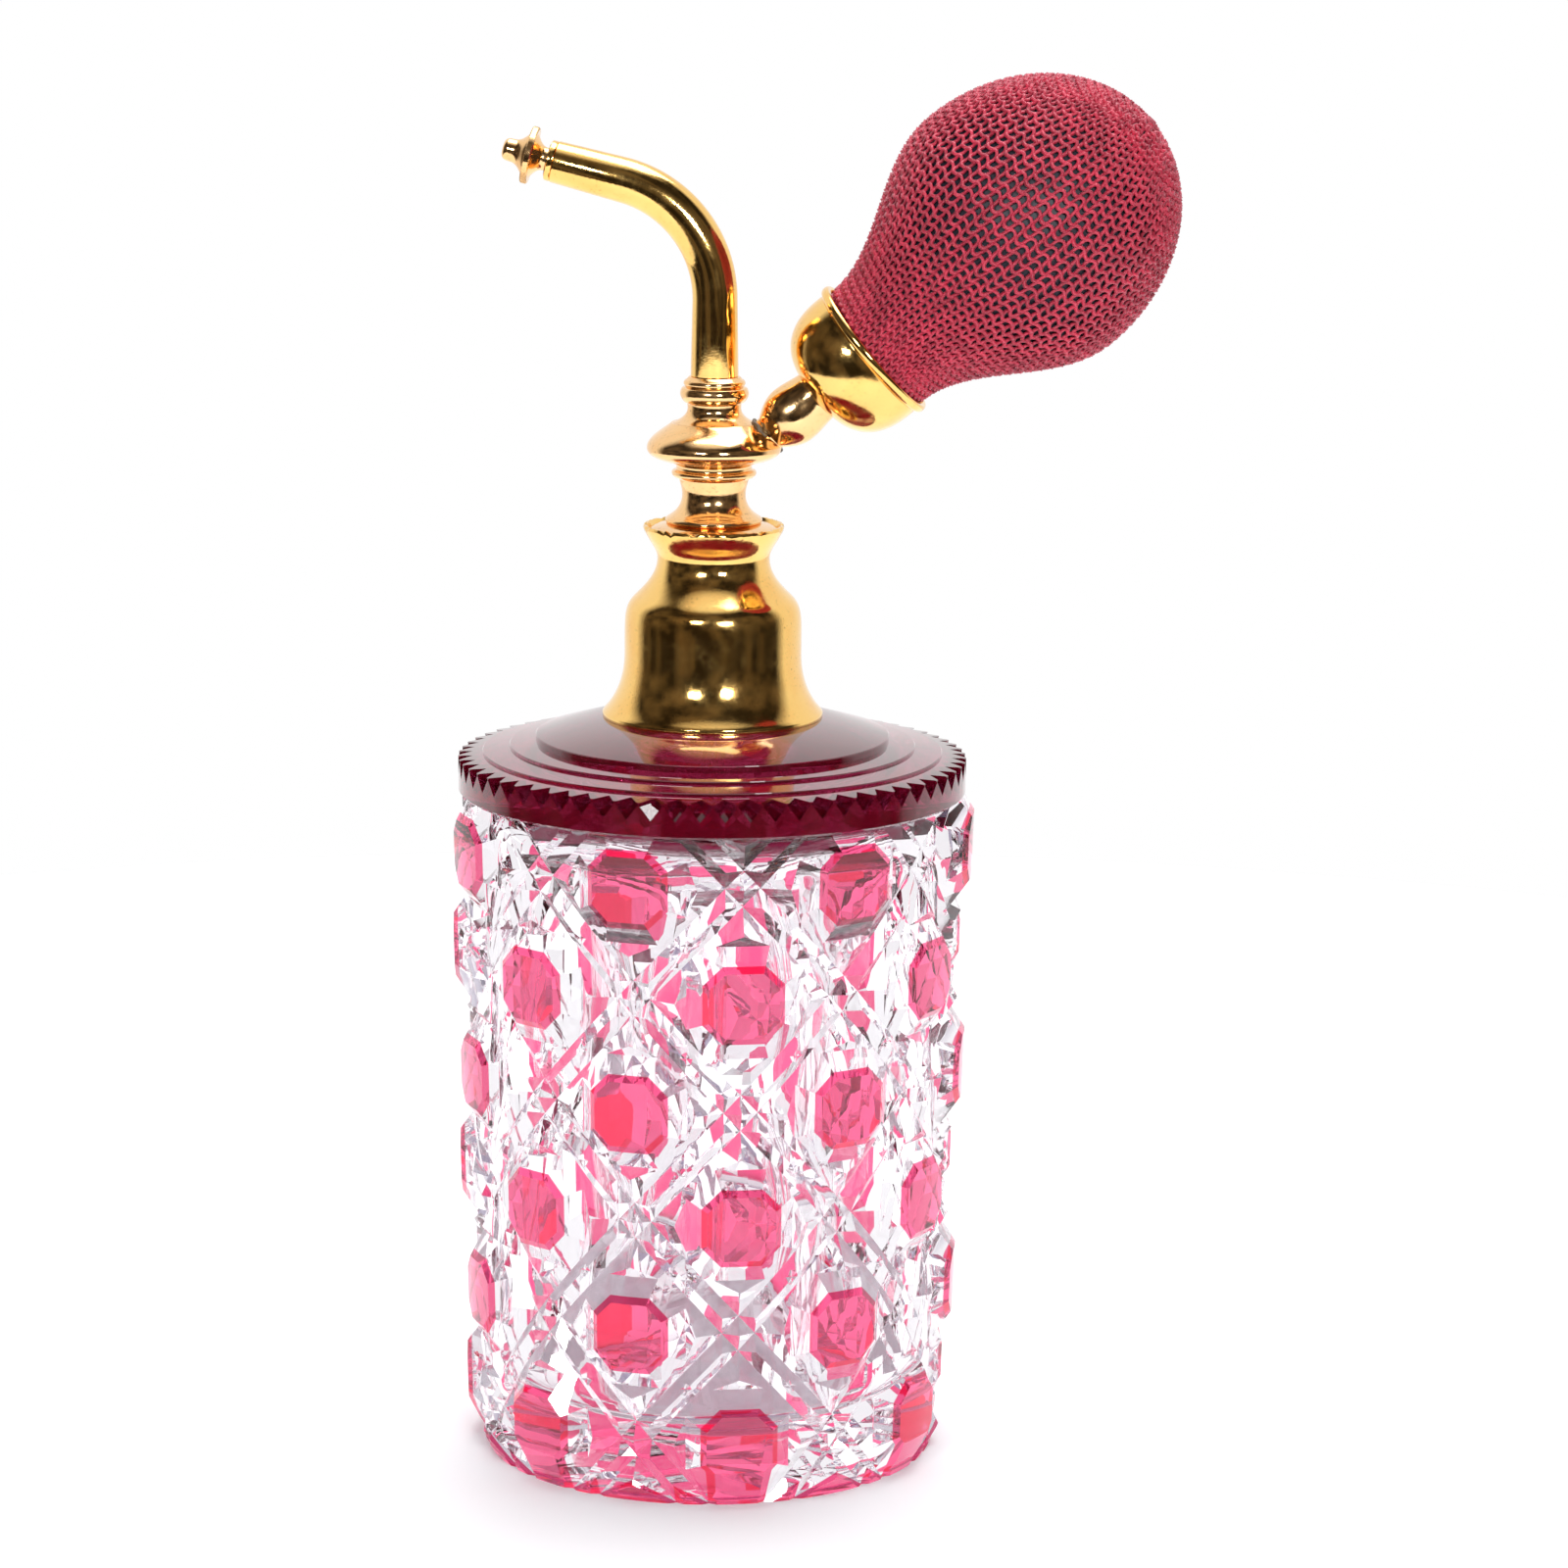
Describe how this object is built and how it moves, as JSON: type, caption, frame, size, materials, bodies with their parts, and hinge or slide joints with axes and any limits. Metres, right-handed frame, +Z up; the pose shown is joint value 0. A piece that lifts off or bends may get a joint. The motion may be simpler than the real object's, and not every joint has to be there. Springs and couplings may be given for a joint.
{
  "type": "perfume atomiser",
  "caption": "Cylindrical cut crystal scent bottle with ruby casing, gilt bell collar, bent spout with knurled nozzle, and a side arm carrying a net-covered squeeze bulb.",
  "frame": {"origin": "centre of the bottle's flat base, where its axis meets the surface it stands on", "axes": "+Z up along the bottle's axis; the spout points to -X and the arm and bulb to +X"},
  "size_m": [0.0929, 0.0678, 0.1806],
  "materials": {
    "clear_crystal": "clear cut and polished lead crystal",
    "ruby_glass": "transparent ruby glass, cut and polished",
    "gilt_brass": "polished gilt brass, lightly worn",
    "rose_gilt": "polished gilt brass, rosier tone",
    "dark_rubber": "dark grey moulded rubber",
    "crimson_net": "open knitted silk cord, shiny",
    "plaster": "fitter's plaster",
    "valve_steel": "plain bright metal"
  },
  "bodies": {
    "bottle_body": {"bottle": "clear_crystal", "ruby_shoulder": "ruby_glass", "ruby_buttons": "ruby_glass", "ruby_foot": "ruby_glass", "neck_cement": "plaster", "neck_gasket": "dark_rubber", "bell_collar": "gilt_brass", "thread_bush": "gilt_brass"},
    "washer_body": {"flange_washer": "dark_rubber"},
    "dip_body": {"dip_tube": "clear_crystal"},
    "head_body": {"tube_ferrule": "rose_gilt", "screw_plug": "rose_gilt", "baluster": "rose_gilt", "knop": "rose_gilt", "spout_socket": "rose_gilt", "spout_tube": "gilt_brass", "liquid_tube": "gilt_brass", "nozzle_seat": "gilt_brass", "side_arm": "rose_gilt", "bulb_cup": "gilt_brass", "hose_nipple": "gilt_brass", "outlet_seat": "gilt_brass", "rubber_bulb": "dark_rubber", "net_cover": "crimson_net", "neck_binding": "crimson_net"},
    "packing_body": {"nozzle_packing": "dark_rubber"},
    "nozzle_body": {"nozzle_tip": "gilt_brass"},
    "outlet_ball_body": {"outlet_ball": "valve_steel"},
    "intake_valve_body": {"intake_valve": "valve_steel"},
    "intake_ball_body": {"intake_ball": "valve_steel"}
  },
  "joints": [
    {"name": "head_lift", "type": "slide", "parent": "bottle_body", "child": "washer_body", "axis": [0, 0, 1], "range_m": [0, 0.12]},
    {"name": "head_rise", "type": "slide", "parent": "washer_body", "child": "dip_body", "axis": [0, 0, 1], "range_m": [0, 0.0025]},
    {"name": "head_unscrew", "type": "hinge", "parent": "dip_body", "child": "head_body", "pos_m": [0, 0, 0.12], "axis": [0, 0, 1], "range_deg": [0, 900]},
    {"name": "nozzle_advance", "type": "slide", "parent": "head_body", "child": "packing_body", "axis": [-0.9703, 0, 0.2419], "range_m": [0, 0.0006]},
    {"name": "nozzle_turn", "type": "hinge", "parent": "packing_body", "child": "nozzle_body", "pos_m": [-0.02063, 0, 0.16855], "axis": [-0.9703, 0, 0.2419], "range_deg": [0, 540]},
    {"name": "bulb_squeeze", "type": "slide", "parent": "head_body", "child": "intake_valve_body", "axis": [-0.766, 0, -0.6428], "range_m": [0, 0.009], "stiffness_N_per_m": 450, "deforming": ["rubber_bulb", "net_cover"]},
    {"name": "intake_ball_travel", "type": "slide", "parent": "intake_valve_body", "child": "intake_ball_body", "axis": [0.766, 0, 0.6428], "range_m": [0, 0.0007]},
    {"name": "outlet_ball_travel", "type": "slide", "parent": "head_body", "child": "outlet_ball_body", "axis": [0.766, 0, 0.6428], "range_m": [0, 0.0007]}
  ],
  "couplings": [
    {"joint": "head_unscrew", "follows": "head_rise", "rad_per_m": 6283.2},
    {"joint": "nozzle_turn", "follows": "nozzle_advance", "rad_per_m": 15708}
  ]
}
